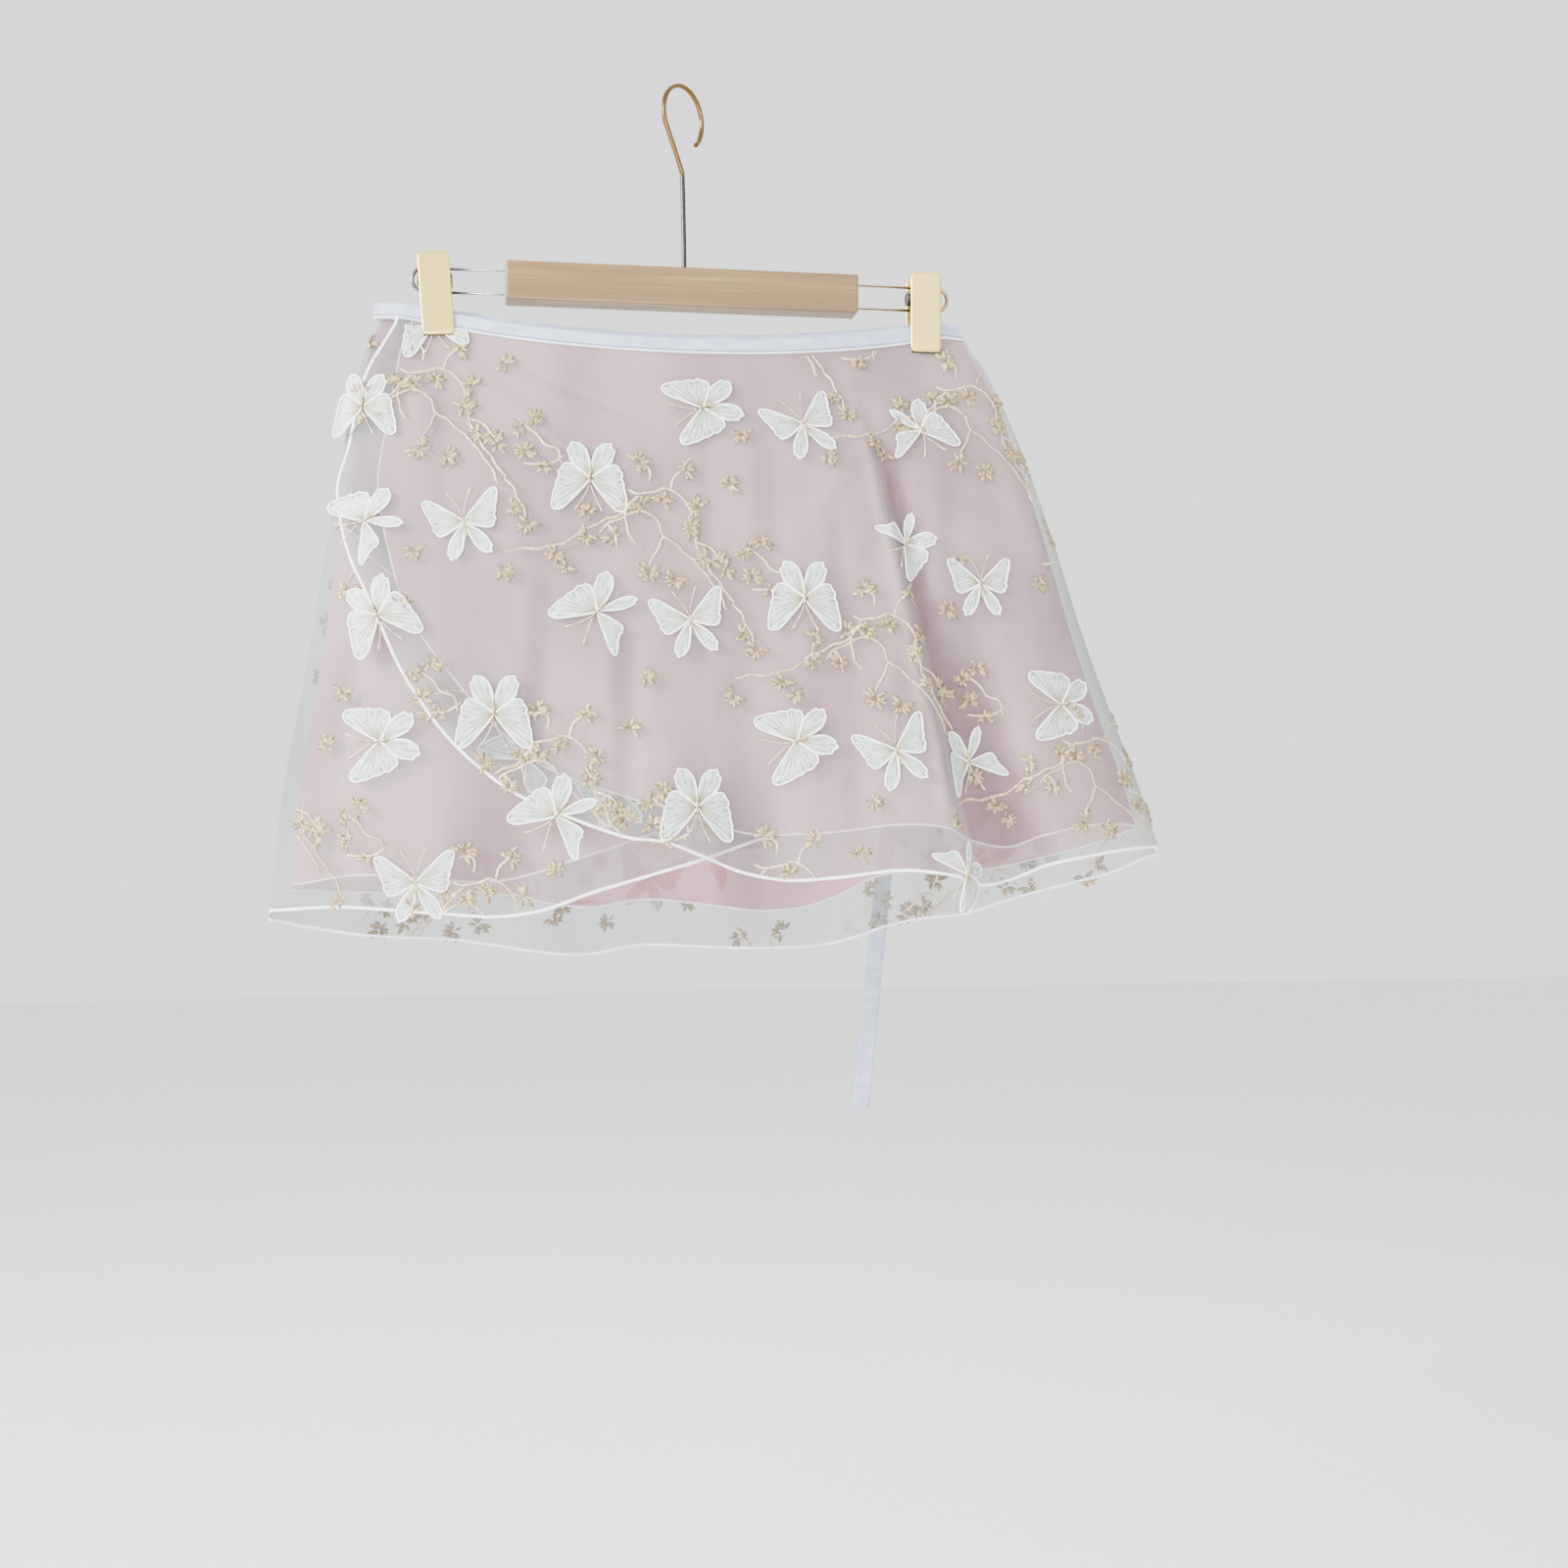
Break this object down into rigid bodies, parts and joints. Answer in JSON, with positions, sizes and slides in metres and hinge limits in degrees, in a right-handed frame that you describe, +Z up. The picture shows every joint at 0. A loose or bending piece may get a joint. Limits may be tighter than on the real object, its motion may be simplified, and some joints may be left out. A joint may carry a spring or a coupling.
{
  "type": "wrap ballet skirt on a clip hanger",
  "caption": "Short wrap ballet skirt of embroidered organza over a liner, bound and tied with satin ribbon, held at the waist by a wooden hanger with sprung clips.",
  "frame": {"origin": "the inside top of the hanger's hook, where it rests on a rail or peg", "axes": "+X along the hanger's bar towards the end where the top wrap is seamed, -Y the front of the skirt, +Z up"},
  "size_m": [0.578, 0.1746, 0.6781],
  "materials": {
    "organza": "sheer off-white organza with white and gold embroidery",
    "liner": "matt dusty pink",
    "satin": "pale blue-grey satin",
    "wood": "pale beech, satin lacquer",
    "wire": "dark gilt wire, polished",
    "clips": "pale brass, polished"
  },
  "bodies": {
    "root": {"organza_top_front": "organza", "organza_under_front": "organza", "organza_back": "organza", "liner_top_front": "liner", "liner_under_front": "liner", "liner_back": "liner", "band_top_front": "satin", "band_under_front": "satin", "band_back": "satin", "tie_back_run": "satin", "tie_hanging_end": "satin", "tie_inner_end": "satin", "hanger_bar": "wood", "hanger_hook": "wire", "rail_left": "wire", "rail_right": "wire", "clip_left_spring": "wire", "clip_right_spring": "wire", "clip_left_front_plate": "clips", "clip_left_back_plate": "clips", "clip_right_front_plate": "clips", "clip_right_back_plate": "clips"}
  },
  "joints": []
}
